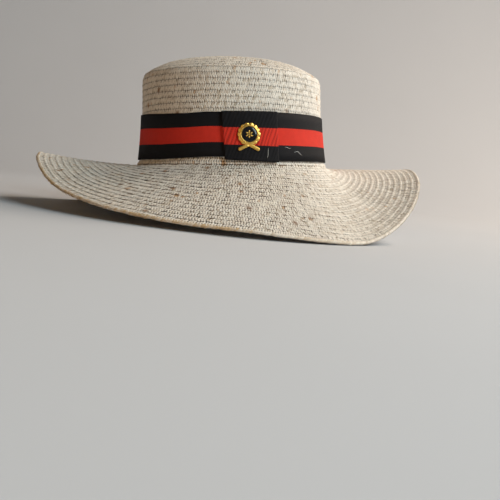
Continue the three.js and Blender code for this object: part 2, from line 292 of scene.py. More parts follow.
def finished(piece, slot_name, *nodes):
    """Rides on the hat and stands for these solids, which it hides; slot_name is not used."""
    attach(piece, "root")
    if nodes:
        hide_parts(*nodes)
    return piece


def made_piece(name, points, faces, finish, slot_name, *nodes):
    """A finished piece of one material from its points and faces."""
    mesh = mesh_of(name, points, faces)
    mesh.materials.append(finish)
    return finished(new_object(name, mesh), slot_name, *nodes)


# Node trees

def feed(tree, socket, value):
    """Gives a socket a value, or links it to another socket or to a node's first output."""
    if isinstance(value, bpy.types.Node):
        value = next(s for s in value.outputs if s.enabled)
    if isinstance(value, bpy.types.NodeSocket):
        tree.links.new(value, socket)
    else:
        socket.default_value = value


def add(tree, kind, inputs=None, **settings):
    """A new node with its settings, and its inputs given as values, nodes or sockets."""
    node = tree.nodes.new(kind)
    for name, value in settings.items():
        setattr(node, name, value)
    for name, value in (inputs or {}).items():
        feed(tree, next(s for s in node.inputs if s.name == name and s.enabled), value)
    return node


def math_node(tree, operation, first, second=0.0):
    node = add(tree, "ShaderNodeMath", operation=operation)
    for socket, value in zip(node.inputs, (first, second)):
        feed(tree, socket, value)
    return node


def plus(tree, first, second):
    return math_node(tree, "ADD", first, second)


def minus(tree, first, second):
    return math_node(tree, "SUBTRACT", first, second)


def times(tree, first, second):
    return math_node(tree, "MULTIPLY", first, second)


def geometry_tree(name, inputs):
    """An empty geometry tree with these named inputs, its input node and its output node."""
    tree = bpy.data.node_groups.new(name, "GeometryNodeTree")
    tree.interface.new_socket("Geometry", in_out="INPUT", socket_type="NodeSocketGeometry")
    for label, kind in inputs.items():
        tree.interface.new_socket(label, in_out="INPUT", socket_type="NodeSocket" + kind)
    tree.interface.new_socket("Geometry", in_out="OUTPUT", socket_type="NodeSocketGeometry")
    return tree, tree.nodes.new("NodeGroupInput"), tree.nodes.new("NodeGroupOutput")


def from_points(tree, name, kind="FLOAT"):
    """What the points carry under that name."""
    return add(tree, "GeometryNodeInputNamedAttribute", {"Name": name}, data_type=kind)


def to_points(tree, geometry, name, value):
    """Has the points carry a number under that name."""
    inputs = {"Geometry": geometry, "Name": name, "Value": value}
    return add(tree, "GeometryNodeStoreNamedAttribute", inputs, data_type="FLOAT", domain="POINT")


def put_out(tree, given, result, geometry):
    """Ends a geometry tree with its finish on what it made."""
    finish = given.outputs["Finish"]
    dressed = add(tree, "GeometryNodeSetMaterial", {"Geometry": geometry, "Material": finish})
    feed(tree, result.inputs["Geometry"], dressed)
    return tree


def grown(name, source, tree, values):
    """The plain mesh that a geometry tree makes from a source mesh, as a new object."""
    holder = new_object(name + "_source", source)
    modifier = holder.modifiers.new(tree.name, "NODES")
    modifier.node_group = tree
    for item in tree.interface.items_tree:
        if item.item_type == "SOCKET" and item.in_out == "INPUT" and item.name in values:
            modifier[item.identifier] = values[item.name]
    depsgraph = bpy.context.evaluated_depsgraph_get()
    mesh = bpy.data.meshes.new_from_object(
        holder.evaluated_get(depsgraph), preserve_all_data_layers=True, depsgraph=depsgraph)
    bpy.data.objects.remove(holder)
    bpy.data.meshes.remove(source)
    if not mesh.polygons:
        raise RuntimeError(f"{name}: its geometry tree made no faces")
    mesh.name = name
    return new_object(name, mesh)


# Finishes

FINE_GRAIN = 900  # scale of the finest noise, for each metre
BLOT_RAGGED = 0.16  # by how much of a blot's spacing its edge is ragged
TAN_FADE = 2.0  # how fast the tan colour fades for each metre away from the wearer's right front
TAN_TONE = 0.3  # how much a strand's own tone moves the edge of the tan
FIBRES = (2.0, 9.0, 1.0)  # streaks along a strand, and across it
STRIPE_STEPS, STRIPE_WANDER = 1500, 0.02  # steps in its edge on each metre, as a share of the width
WARP_THREADS = 60  # bump of the warp across the ribbon


def new_finish(name, **sockets):
    material = bpy.data.materials.new(name)
    material.use_nodes = True
    tree = material.node_tree
    for label, value in sockets.items():
        to_shader(tree, label.replace("_", " "), value)
    return material, tree


def to_shader(tree, name, value):
    feed(tree, tree.nodes["Principled BSDF"].inputs[name], value)


def scaled(colour, share):
    """A colour made darker or lighter."""
    return (*(share * part for part in colour[:3]), 1)


def ramp(tree, factor, stops):
    """Colours or greys along a factor, from (place, colour) stops."""
    node = add(tree, "ShaderNodeValToRGB", {"Fac": factor})
    elements = node.color_ramp.elements
    while len(elements) < len(stops):
        elements.new(0.5)
    for element, (place, colour) in zip(elements, stops):
        element.position = place
        element.color = colour if hasattr(colour, "__len__") else (colour, colour, colour, 1)
    return node


def object_place(tree):
    return add(tree, "ShaderNodeTexCoord").outputs["Object"]


def carried(tree, name):
    """The number that the mesh carries under that name."""
    return add(tree, "ShaderNodeAttribute", attribute_name=name).outputs["Fac"]


def noise(tree, scale, detail):
    return add(tree, "ShaderNodeTexNoise", {"Vector": object_place(tree), "Scale": scale, "Detail": detail})


def mix(tree, factor, first, second, blend="MIX"):
    inputs = {"Factor": factor, "A": first, "B": second}
    return add(tree, "ShaderNodeMix", inputs, data_type="RGBA", blend_type=blend)


def bumped(tree, height, millimetres, strength=1.0):
    to_shader(tree, "Normal", add(tree, "ShaderNodeBump", {
        "Height": height, "Distance": millimetres * MM, "Strength": strength}))


def straw_finish(name, straw, tan_gradient=False):
    """Paper straw: each strand has its own tone, some are flecked and fibres run along it. A strand darkens
    towards its end under the lip of the row above, as grime and painted shade.

    With the tan gradient, the straw is darkest tan at the front towards the wearer's right."""
    material, tree = new_finish(name, Roughness=0.75, Specular_IOR_Level=0.3)
    tone = carried(tree, "strand_tone")
    plain = ramp(tree, tone, [
        (0.0, straw.shade_colour), (0.1, straw.mid_colour), (0.5, straw.light_colour),
        (0.995, straw.pale_colour), (0.997, straw.tan_colour)])
    patches = noise(tree, straw.patch_density, 3)
    worn = mix(tree, times(tree, patches, straw.wear), plain, straw.mid_colour)
    blots = add(tree, "ShaderNodeTexVoronoi", {"Vector": object_place(tree), "Scale": straw.blot_density})
    kind = add(tree, "ShaderNodeSeparateColor", {"Color": blots.outputs["Color"]})
    blot = mix(tree, ramp(tree, kind, [(0.3, 0.0), (1.0, 1.0)]), straw.tan_colour, straw.fleck_colour)
    rough_edge = times(tree, noise(tree, FINE_GRAIN, 2), BLOT_RAGGED)
    ragged = plus(tree, blots.outputs["Distance"], rough_edge)
    worn = mix(tree, ramp(tree, ragged, [(0.14, 0.9), (0.25, 0.0)]), worn, blot)
    if tan_gradient:
        place = add(tree, "ShaderNodeSeparateXYZ", {"Vector": object_place(tree)}).outputs
        aside = times(tree, plus(tree, place["X"], place["Y"]), TAN_FADE)
        spread = plus(tree, plus(tree, aside, patches), times(tree, tone, TAN_TONE))
        # darker tan towards the front at the wearer's right
        tan_share = ramp(tree, spread, [(0.15, 1.0), (0.3, 0.5), (0.6, 0.1)])
        worn = mix(tree, tan_share, worn, straw.edge_colour)
    places = add(tree, "ShaderNodeUVMap", uv_map="strand")
    drawn_out = add(tree, "ShaderNodeMapping", {"Vector": places, "Scale": FIBRES})
    fibre = add(tree, "ShaderNodeTexNoise", {"Vector": drawn_out, "Scale": 1.0, "Detail": 3.0})
    streak = ramp(tree, fibre, [(0.3, 0.8), (0.62, 1.0)])
    along = add(tree, "ShaderNodeSeparateXYZ", {"Vector": places})
    # painted shade and grime: a strand darkens towards its end under the lip of the row above
    grime_and_painted_shade = ramp(tree, along, [(0.0, 0.35), (0.12, 0.5), (0.22, 1.0)])
    streaked = mix(tree, 1.0, worn, streak, "MULTIPLY")
    to_shader(tree, "Base Color", mix(tree, 1.0, streaked, grime_and_painted_shade, "MULTIPLY"))
    bumped(tree, fibre, 0.12, 0.6)
    return material


def core_finish(straw):
    """The straw core that shows between the strands: coloured dark as painted shade, lighter in patches."""
    material, tree = new_finish("straw_core", Roughness=0.9, Specular_IOR_Level=0.2)
    patches = ramp(tree, noise(tree, 75, 2), [(0.4, 0.0), (0.62, 1.0)])
    to_shader(tree, "Base Color", mix(tree, patches, straw.core_shade_colour, scaled(straw.core_shade_colour, 2.5)))
    bumped(tree, noise(tree, FINE_GRAIN, 2), 0.2)
    return material


def ribbon_finish(ribbon):
    """Grosgrain: black edges and a red middle, with fine warp threads over the ribs."""
    material, tree = new_finish("grosgrain", Roughness=0.75, Specular_IOR_Level=0.18)
    across, along = carried(tree, "ribbon_across"), carried(tree, "ribbon_along")
    steps = times(tree, along, STRIPE_STEPS)
    edge = add(tree, "ShaderNodeTexNoise", {"W": steps, "Scale": 1.0}, noise_dimensions="1D")
    wavy = plus(tree, across, times(tree, minus(tree, edge, 0.5), STRIPE_WANDER))
    away = math_node(tree, "ABSOLUTE", minus(tree, wavy, ribbon.stripe_middle))
    middle = math_node(tree, "LESS_THAN", away, ribbon.stripe_share / 2)
    cloud = noise(tree, 160, 3)
    red = mix(tree, cloud, ribbon.red_colour, scaled(ribbon.red_colour, 0.8))
    black = mix(tree, cloud, ribbon.black_colour, scaled(ribbon.black_colour, 1.5))
    shade = ramp(tree, carried(tree, "groove_shade"), [(0.1, 1.0), (0.9, 0.15)])
    to_shader(tree, "Base Color", mix(tree, 1.0, mix(tree, middle, black, red), shade, "MULTIPLY"))
    weave = add(tree, "ShaderNodeCombineXYZ", {"X": times(tree, across, WARP_THREADS), "Y": along})
    threads = add(tree, "ShaderNodeTexWave", {"Vector": weave, "Scale": 1.0, "Distortion": 0.4})
    bumped(tree, threads.outputs["Fac"], 0.08, 0.5)
    return material


def gilt_finish(badge):
    """Polished gilt with a little grime: darker and rougher in random patches."""
    material, tree = new_finish("gilt", Metallic=0.8)
    cloud = noise(tree, 420, 3)
    dull = ramp(tree, cloud, [(0.35, 0.0), (0.7, 1.0)])
    to_shader(tree, "Base Color", mix(tree, dull, badge.gilt_colour, scaled(badge.gilt_colour, 0.62)))
    rough = add(tree, "ShaderNodeMapRange", {"Value": cloud, "To Min": 0.18, "To Max": 0.42})
    to_shader(tree, "Roughness", rough)
    bumped(tree, cloud, 0.15, 0.4)
    return material


def enamel_finish(badge):
    """Glossy black enamel with a faint ripple."""
    material, tree = new_finish(
        "black_enamel", Roughness=0.12, Specular_IOR_Level=0.3, Coat_Weight=0.15, Coat_Roughness=0.05)
    cloud = noise(tree, 300, 2)
    to_shader(tree, "Base Color", mix(tree, cloud, badge.enamel_colour, scaled(badge.enamel_colour, 1.8)))
    bumped(tree, cloud, 0.1, 0.3)
    return material


def plain_finish(name, colour, scale):
    """A dull surface with a faint cloud of its own colour."""
    material, tree = new_finish(name, Roughness=0.9)
    to_shader(tree, "Base Color", mix(tree, noise(tree, scale, 3), tuple(colour), scaled(colour, 0.94)))
    return material


# Kinds of settings

def length_prop(name, description, millimetres):
    return FloatProperty(
        name=name, description=description, default=millimetres * MM, subtype="DISTANCE", unit="LENGTH")


def share_prop(name, description, share):
    return FloatProperty(name=name, description=description, default=share, min=0, max=1, subtype="FACTOR")


def angle_prop(name, description, degrees):
    return FloatProperty(
        name=name, description=description, default=math.radians(degrees), subtype="ANGLE", unit="ROTATION")


def power_prop(name, description, watts):
    return FloatProperty(name=name, description=description, default=watts, subtype="POWER", unit="POWER")


def number_prop(name, description, number):
    return FloatProperty(name=name, description=description, default=number)


def count_prop(name, description, count, least, most):
    return IntProperty(name=name, description=description, default=count, min=least, max=most)


def colour_prop(name, description, *rgb):
    return FloatVectorProperty(
        name=name, description=description, default=(*rgb, 1), size=4, subtype="COLOR")


# Straw

class StrawSettings(bpy.types.PropertyGroup):
    """Sizes and colours of the sewn braid"""
    brim_rows: count_prop("Brim rows", "Rows of braid over the brim", 18, 6, 40)
    crown_row: length_prop("Crown row", "Width of a row on the crown", 4.75)
    band_top: length_prop("Band top", "Height up to which the band hides the rows", 38.2)
    crown_pitch: length_prop("Crown pitch", "Step of the plait along a row of the crown", 2.05)
    brim_pitch: length_prop("Brim pitch", "Step of the plait along a row of the brim", 2.1)
    edge_pitch: length_prop("Edge pitch", "Step of the strands wound round the brim's edge", 2.7)
    strand_share: share_prop("Strand share", "Width of one paper strand as a share of the pitch", 0.86)
    strand_dome: length_prop("Strand dome", "Height of a strand's crest over its edges", 0.48)
    strand_slant: angle_prop("Strand slant", "Slant of the strands against the row", 22.5)
    crown_lap: length_prop("Crown lap", "Height of a row's lip over its other edge on the crown", 0.3)
    brim_lap: length_prop("Brim lap", "Height of a row's lip over its other edge on the brim", 0.85)
    plait_sink: length_prop("Plait sink", "Depth of a row's middle under the straw's face", 0.45)
    crown_drop: length_prop("Crown lip drop", "How far the lips of the crown's rows turn down", 0.1)
    brim_drop: length_prop("Brim lip drop", "How far the lips of the brim's rows turn down", 0.28)
    crown_end: share_prop("Crown end", "Share of a strand's width at the lip of the crown's rows", 0.32)
    brim_end: share_prop("Brim end", "Share of a strand's width at the lip of the brim's rows", 0.6)
    crown_middle: share_prop("Crown middle", "Share of it at the middle of the crown's rows", 0.85)
    brim_middle: share_prop("Brim middle", "Share of it at the middle of the brim's rows", 0.5)
    core_depth: length_prop("Core depth", "Depth of the core under the straw's face", 0.92)
    unevenness: share_prop("Unevenness", "Share by which strands vary", 0.1)
    seed: count_prop("Seed", "Seed of the strands' variation", 11, 0, 9999)
    pale_colour: colour_prop("Pale straw", "Colour of the palest strands", 0.91, 0.835, 0.735)
    light_colour: colour_prop("Light straw", "Colour of most strands", 0.83, 0.757, 0.67)
    mid_colour: colour_prop("Middle straw", "Colour of duller strands", 0.74, 0.65, 0.555)
    shade_colour: colour_prop("Dull straw", "Colour of the dullest strands", 0.58, 0.49, 0.38)
    wear: share_prop("Wear", "Share of duller straw where a patch is most worn", 0.35)
    patch_density: number_prop("Patches", "Worn patches on each metre", 22.0)
    blot_density: number_prop("Blots", "Places for a brown blot on each metre", 55.0)
    tan_colour: colour_prop("Tan straw", "Colour of tan strands", 0.55, 0.3, 0.13)
    fleck_colour: colour_prop("Fleck", "Colour of the flecks", 0.25, 0.12, 0.05)
    edge_colour: colour_prop("Edge straw", "Colour of the strand round the brim's edge", 0.6, 0.42, 0.24)
    # painted shade: the dark colour of the core where it shows between the strands
    core_shade_colour: colour_prop("Deep straw", "Colour between the strands", 0.085, 0.054, 0.032)


class Braid(NamedTuple):
    """One kind of braid, lengths in metres."""
    row: float  # width of a row
    pitch: float  # step of the plait along it
    lap: float  # height of its lip over its other edge
    drop: float  # how far the strands' ends turn down at the lip
    end_width: float  # share of a strand's width there
    middle_width: float  # and at the row's middle
    overlap: float  # how far the strands of both sides reach past the middle
    stagger: float  # share of the pitch from the strands of one side to those of the other
    clean: float  # start on the darkening scale of grime and painted shade along the strand; 0 is the darkest


FINE_STEPS, PLAIN_STEPS = (0.0, 0.3, 0.7, 1.0), (0.0, 0.5, 1.0)  # places along a strand that have points
CROWN_OVERLAP, BRIM_OVERLAP = 0.3 * MM, 0.05 * MM
CROWN_STAGGER, BRIM_STAGGER = 0.5, 0.0
CROWN_GRIME_SHADE, BRIM_GRIME_SHADE = 0.0, 0.2
LIP_GRIME_SHADE = 0.25  # where a strand ends on that scale at a lip
LOW_DOME = 0.5  # share of its dome that a strand has where it is narrow
ROW_OVERLAP = 0.5 * MM  # how far a row reaches under the lip of the one above
ROW_TURN = 137  # points round the hat from the start of one row to that of the next
TIP_START = 0.38  # share of a row's width from the tip's middle to the first row
SEED_STEP, EDGE_SEED = 10, 40
MAP_MARGIN = 0.1  # share of its square that stays empty round a strand

EDGE_WRAP = (  # the strand round the brim's edge: (outwards, over the straw's outside), mm
    (-1.7, -0.35), (-1.0, -0.1), (-0.35, -0.2), (0.0, -1.0), (-0.35, -2.1), (-1.3, -2.25), (-2.4, -2.0))
EDGE_RUN = 0.8  # share of the pitch that it runs along the edge to either side
EDGE_END = 0.7  # share of its width at its ends
EDGE_GRIME_SHADE = 0.4  # where it starts on the scale of grime and painted shade

CORE_LINES = (46, 4, 24)  # lines of the core round the crown, the turn and the brim
CORE_TURN = 2.0  # where along the straw the turn's lines start
CORE_BRIM, CORE_SHORT = 14.0, 0.9  # where the brim's start, and how far from its edge they end
CORE_EVERY = 2  # the core takes every second point of a line


def strand(path, shift, width, half_widths, domes, along):
    """One flat strand along a path of (x, y, z): points, faces and the strand's own UV places.

    Each point of the path gets a left edge, a crest and a right edge across the strand. The UV map's u is
    given along the path, 0 where grime and painted shade darken it most."""
    way = np.gradient(path, axis=0)
    up = unit(np.stack([np.zeros(len(path)), -way[:, 2], way[:, 1]], -1))
    side = unit(np.cross(way, up))
    lines = [path + side * (e * width / 2 * half_widths)[:, None] + up * (domes * (1 - abs(e)))[:, None]
             for e in (-1, 0, 1)]
    points = np.stack(lines, 1) + np.array((shift, 0, 0))
    places = np.stack(np.meshgrid(along, (0, 0.5, 1), indexing="ij"), -1)
    return points.reshape(-1, 3), skin(points, closed_round=False), places.reshape(-1, 2)


def strands_mesh(name, strands):
    """Joins strands into one small mesh that carries the UV map along them."""
    points, faces = joined([made[:2] for made in strands])
    places = np.concatenate([made[2] for made in strands])
    mesh = mesh_of(name, points, faces)
    corners = places[np.ravel(faces)].astype(np.float32)
    mesh.uv_layers.new(name="strand").uv.foreach_set("vector", corners.ravel())
    return mesh


def plait_unit(straw, braid, steps):
    """One step of the plait: two strands that slant apart, x along the row, y to its lip, z up."""
    half, slant = braid.row / 2, math.tan(straw.strand_slant)
    u = np.array(steps)
    from_under = (braid.clean + (1 - braid.clean) * u, 0.0, (1.0, braid.middle_width))
    to_lip = (1 - (1 - LIP_GRIME_SHADE) * u, braid.stagger * braid.pitch, (braid.middle_width, braid.end_width))
    made = []
    for side, start, end, drop, (along, shift, widths) in (
            (1, -half - ROW_OVERLAP, braid.overlap, 0.0, from_under),
            (-1, -braid.overlap, half, braid.drop, to_lip)):
        y = start + (end - start) * u
        z = braid.lap * y / braid.row - straw.plait_sink
        z[-1] -= drop
        taper = np.ones(len(u))
        taper[[0, -1]] = widths
        dome = straw.strand_dome * np.where(taper < 1, LOW_DOME, 1)
        path = np.stack([side * slant * y, y, z], -1)
        made.append(strand(path, shift, straw.strand_share * braid.pitch, taper, dome, along))
    return strands_mesh("plait_unit", made)


def edge_unit(straw):
    """One strand wound round the brim's edge."""
    wrap = np.array(EDGE_WRAP) * MM
    x = np.linspace(-EDGE_RUN, EDGE_RUN, len(wrap)) * straw.edge_pitch
    taper = np.ones(len(wrap))
    taper[[0, -1]] = EDGE_END
    along = np.linspace(EDGE_GRIME_SHADE, 1, len(wrap))
    width = straw.strand_share * straw.edge_pitch
    made = strand(np.column_stack([x, wrap]), 0, width, taper, taper * straw.strand_dome, along)
    return strands_mesh("edge_unit", [made])


def plait_tree():
    """Sets a plait unit at every step along the rows, square to the straw, each a little out of true."""
    tree, given, result = geometry_tree("Plait along rows", {
        "Plait pitch": "Float", "Plait unit": "Object", "Unevenness": "Float", "Seed": "Int",
        "Finish": "Material"})
    most, seed = given.outputs["Unevenness"], given.outputs["Seed"]
    rows = add(tree, "GeometryNodeResampleCurve", {
        "Curve": add(tree, "GeometryNodeMeshToCurve", {"Mesh": given.outputs["Geometry"]}),
        "Length": given.outputs["Plait pitch"]}, mode="LENGTH")
    square = add(tree, "FunctionNodeAxesToRotation", {
        "Primary Axis": from_points(tree, "row_normal", "FLOAT_VECTOR"),
        "Secondary Axis": from_points(tree, "row_lip", "FLOAT_VECTOR")},
        primary_axis="Z", secondary_axis="Y")
    least = times(tree, most, -1.0)
    wobble = add(tree, "FunctionNodeRandomValue", {
        "Min": add(tree, "ShaderNodeCombineXYZ", {axis: least for axis in "XYZ"}),
        "Max": add(tree, "ShaderNodeCombineXYZ", {axis: most for axis in "XYZ"}),
        "Seed": seed}, data_type="FLOAT_VECTOR")
    turned_units = add(tree, "FunctionNodeRotateRotation", {
        "Rotation": square, "Rotate By": add(tree, "FunctionNodeEulerToRotation", {"Euler": wobble})},
        rotation_space="LOCAL")
    size = add(tree, "FunctionNodeRandomValue", {
        "Min": minus(tree, 1.0, most), "Max": plus(tree, 1.0, most), "Seed": plus(tree, seed, 1.0)},
        data_type="FLOAT")
    info = add(tree, "GeometryNodeObjectInfo", {"Object": given.outputs["Plait unit"]})
    units = add(tree, "GeometryNodeInstanceOnPoints", {
        "Points": rows, "Instance": info.outputs["Geometry"], "Rotation": turned_units, "Scale": size})
    real = add(tree, "GeometryNodeRealizeInstances", {"Geometry": units})
    tone = add(tree, "FunctionNodeRandomValue", {
        "Min": 0.0, "Max": 1.0, "ID": add(tree, "GeometryNodeInputMeshIsland").outputs["Island Index"],
        "Seed": plus(tree, seed, 2.0)}, data_type="FLOAT")
    return put_out(tree, given, result, to_points(tree, real, "strand_tone", tone))


def row_lines(name, places, depth=0.0):
    """The middle lines of the rows as edges, with the straw's normal and the way to each row's lip.

    Rows at a depth lie on the straw's inside. Each row starts elsewhere round the hat, so that the strands
    of neighbours don't line up."""
    frames = [np.roll(ring_frame(place), ROW_TURN * k, axis=1) for k, place in enumerate(places)]
    points, normals, downs = (np.concatenate(kind) for kind in zip(*frames))
    sign = -1 if depth > 0 else 1
    i = np.arange(ROUND_STEPS)
    loop = np.column_stack([i, (i + 1) % ROUND_STEPS])
    edges = np.concatenate([loop + k * ROUND_STEPS for k in range(len(frames))]).tolist()
    mesh = mesh_of(name, placed(points - normals * depth), (), edges)
    point_data(mesh, "row_normal", sign * normals @ LEAN.T)
    point_data(mesh, "row_lip", sign * downs @ LEAN.T)
    return mesh


def strand_map(mesh, corners):
    """Gives every strand its own square of a second UV map, OFBake."""
    count = len(mesh.loops)
    places = np.empty(count * 2, np.float32)
    mesh.uv_layers["strand"].uv.foreach_get("vector", places)
    index = np.arange(count) // corners
    side = math.ceil(math.sqrt(index[-1] + 1))
    cell = np.column_stack([index % side, index // side])
    spread = (cell + MAP_MARGIN + (1 - 2 * MAP_MARGIN) * places.reshape(-1, 2)) / side
    mesh.uv_layers.new(name="OFBake").uv.foreach_set("vector", spread.astype(np.float32).ravel())


def plaited(name, lines, unit_mesh, strands, pitch, straw, tree, finish, seed):
    """Rows of plait as one piece, from a unit of so many strands."""
    corners = len(unit_mesh.loops) // strands
    pattern = new_object(unit_mesh.name, unit_mesh)
    piece = grown(name, lines, tree, {
        "Plait pitch": pitch, "Plait unit": pattern, "Unevenness": straw.unevenness, "Seed": seed,
        "Finish": finish})
    bpy.data.objects.remove(pattern)
    bpy.data.meshes.remove(unit_mesh)
    strand_map(piece.data, corners)
    finished(piece, "straw")


class STRAWHAT_OT_straw_core(bpy.types.Operator):
    """Build the straw's core, the wall that the rows of plait lie on"""
    bl_idname = "straw_hat.straw_core"
    bl_label = "Straw core"

    def execute(self, context):
        straw = context.scene.straw_hat_straw
        depth = straw.core_depth / MM
        spans = ((-CROWN_LENGTH, 0), (CORE_TURN, TURN_RUN), (CORE_BRIM, BRIM_WIDTH - CORE_SHORT))
        places = np.concatenate([np.linspace(*span, lines) for span, lines in zip(spans, CORE_LINES)])
        frames = [ring_frame(place) for place in places]
        outer = [p - n * depth for p, n, d in frames]
        inner = [p - n * (STRAW - depth) for p, n, d in frames]
        rings = np.stack(outer + inner[::-1])[:, ::CORE_EVERY]
        points = placed(rings.reshape(-1, 3))
        made_piece("straw_core", points, capped(rings, 0), core_finish(straw), "straw", "straw_body")
        return {"FINISHED"}


class STRAWHAT_OT_straw_rows(bpy.types.Operator):
    """Lay the rows of plait on both faces of the straw and round the brim's edge"""
    bl_idname = "straw_hat.straw_rows"
    bl_label = "Rows of plait"

    def execute(self, context):
        straw = context.scene.straw_hat_straw
        tree = plait_tree()
        finish, edge_finish = straw_finish("plaited_straw", straw), straw_finish("edge_straw", straw, True)
        brim_row = BRIM_WIDTH * MM / straw.brim_rows
        on_crown = Braid(
            straw.crown_row, straw.crown_pitch, straw.crown_lap, straw.crown_drop, straw.crown_end,
            straw.crown_middle, CROWN_OVERLAP, CROWN_STAGGER, CROWN_GRIME_SHADE)
        on_brim = Braid(
            brim_row, straw.brim_pitch, straw.brim_lap, straw.brim_drop, straw.brim_end,
            straw.brim_middle, BRIM_OVERLAP, BRIM_STAGGER, BRIM_GRIME_SHADE)
        brim = (np.arange(straw.brim_rows) + 0.5) * brim_row / MM
        row = straw.crown_row / MM
        hidden = np.interp(straw.band_top / MM, PROFILE[:, 0], PROFILE_ARC) - row
        inside = np.arange(row * TIP_START, CROWN_LENGTH, row) - CROWN_LENGTH
        crown = np.append(inside[-inside > hidden], -row / 2)
        half = straw.brim_rows // 2
        for number, (name, rows, braid, steps, depth) in enumerate((
                ("crown_plait", crown, on_crown, FINE_STEPS, 0.0),
                ("brim_inner_plait", brim[:half], on_brim, FINE_STEPS, 0.0),
                ("brim_outer_plait", brim[half:], on_brim, FINE_STEPS, 0.0),
                ("brim_under_plait", brim, on_brim, PLAIN_STEPS, STRAW),
                ("crown_inside_plait", inside, on_crown, PLAIN_STEPS, STRAW))):
            lines = row_lines(name + "_rows", rows, depth)
            plaited(name, lines, plait_unit(straw, braid, steps), 2, braid.pitch, straw, tree, finish,
                    straw.seed + SEED_STEP * number)
        lines = row_lines("brim_edge_rows", [BRIM_WIDTH])
        plaited("brim_edge_plait", lines, edge_unit(straw), 1, straw.edge_pitch, straw, tree, edge_finish,
                straw.seed + EDGE_SEED)
        return {"FINISHED"}


# Ribbon

class RibbonSettings(bpy.types.PropertyGroup):
    """Sizes and colours of the ribbon"""
    width: length_prop("Ribbon width", "Width of the band", 38.0)
    rib_pitch: length_prop("Rib pitch", "Distance between the band's ribs", 1.0)
    rib_height: length_prop("Rib height", "Height of the band's ribs", 0.12)
    keeper_width: length_prop("Keeper width", "Width of the keeper across the front", 44.2)
    keeper_rib: length_prop("Keeper rib pitch", "Distance between the keeper's ribs", 3.1)
    keeper_rib_height: length_prop("Keeper rib height", "Height of the keeper's ribs", 0.45)
    keeper_slant: number_prop("Keeper slant", "Run of the keeper's ribs for each unit of height", -0.42)
    keeper_wander: length_prop("Keeper wander", "Reach of the bends in the keeper's ribs", 4.0)
    keeper_shift: share_prop("Keeper shift", "Share of the width by which its stripe is lower", 0.012)
    stripe_share: share_prop("Stripe share", "Share of the width that is red", 0.353)
    stripe_middle: share_prop("Stripe middle", "Middle of the stripe over the width", 0.502)
    black_colour: colour_prop("Black", "Colour of the ribbon's edges", 0.007, 0.0065, 0.008)
    red_colour: colour_prop("Red", "Colour of the ribbon's middle", 0.76, 0.04, 0.022)
    lint_colour: colour_prop("Lint", "Colour of the threads of lint", 0.62, 0.62, 0.6)


RIB_DRIFT = 170.0  # uneven places on each metre across wandering ribs
RIB_STEADY = 0.2  # and along them, as a share of that
BAND_SHADE, KEEPER_SHADE = 0.4, 0.7  # how dark the grooves between the ribs are
BAND_SAMPLES = 4000  # points by which the band's length is measured
BAND_LINES, KEEPER_LINES = 7, 25  # lines of points along each ribbon
RIB_POINTS = 4  # points along the band for each of its ribs
KEEPER_STEPS, FOLD_STEPS = 96, 10  # steps along a layer of the keeper and round its fold

LINT = (  # (across the front, height, off the wall) of each thread's points, mm
    ((17.1, 8.4, 4.35), (16.9, 5.4, 4.4), (16.6, 2.4, 4.4), (15.9, 0.2, 4.35)),
    ((32.9, 9.5, 1.5), (34.7, 9.4, 1.6), (36.4, 8.8, 1.6), (38.4, 9.0, 1.5)),
    ((41.0, 5.4, 1.5), (43.0, 6.4, 1.6), (44.6, 6.3, 1.6), (46.6, 4.4, 1.6), (48.4, 3.2, 1.5)),
)
LINT_RADIUS = 0.16
LINT_SIDES, LINT_STEPS = 5, 5
LINT_TAPER = 0.25  # angle at which the thread's round taper is cut off at its ends


def rib_tree():
    """Raises ribs across a ribbon's outer face."""
    tree, given, result = geometry_tree("Ribs across ribbon", {
        "Rib pitch": "Float", "Rib height": "Float", "Slant": "Float", "Wander": "Float",
        "Groove shade": "Float", "Finish": "Material"})
    along, up, face = (from_points(tree, name) for name in ("ribbon_along", "ribbon_up", "ribbon_face"))
    line = plus(tree, along, times(tree, up, given.outputs["Slant"]))
    field = add(tree, "ShaderNodeCombineXYZ", {"X": line, "Y": times(tree, up, RIB_STEADY)})
    drift = add(tree, "ShaderNodeTexNoise", {"Vector": field, "Scale": RIB_DRIFT})
    place = plus(tree, line, times(tree, minus(tree, drift, 0.5), given.outputs["Wander"]))
    turn = times(tree, math_node(tree, "DIVIDE", place, given.outputs["Rib pitch"]), math.pi)
    wave = math_node(tree, "ABSOLUTE", math_node(tree, "SINE", turn))
    groove = times(tree, minus(tree, 1.0, wave), given.outputs["Groove shade"])
    rise = times(tree, times(tree, wave, given.outputs["Rib height"]), face)
    shaded = to_points(tree, given.outputs["Geometry"], "groove_shade", groove)
    out = from_points(tree, "ribbon_out", "FLOAT_VECTOR")
    offset = add(tree, "ShaderNodeVectorMath", {"Vector": out, "Scale": rise}, operation="SCALE")
    moved = add(tree, "GeometryNodeSetPosition", {"Geometry": shaded, "Offset": offset})
    return put_out(tree, given, result, add(tree, "GeometryNodeRealizeInstances", {"Geometry": moved}))


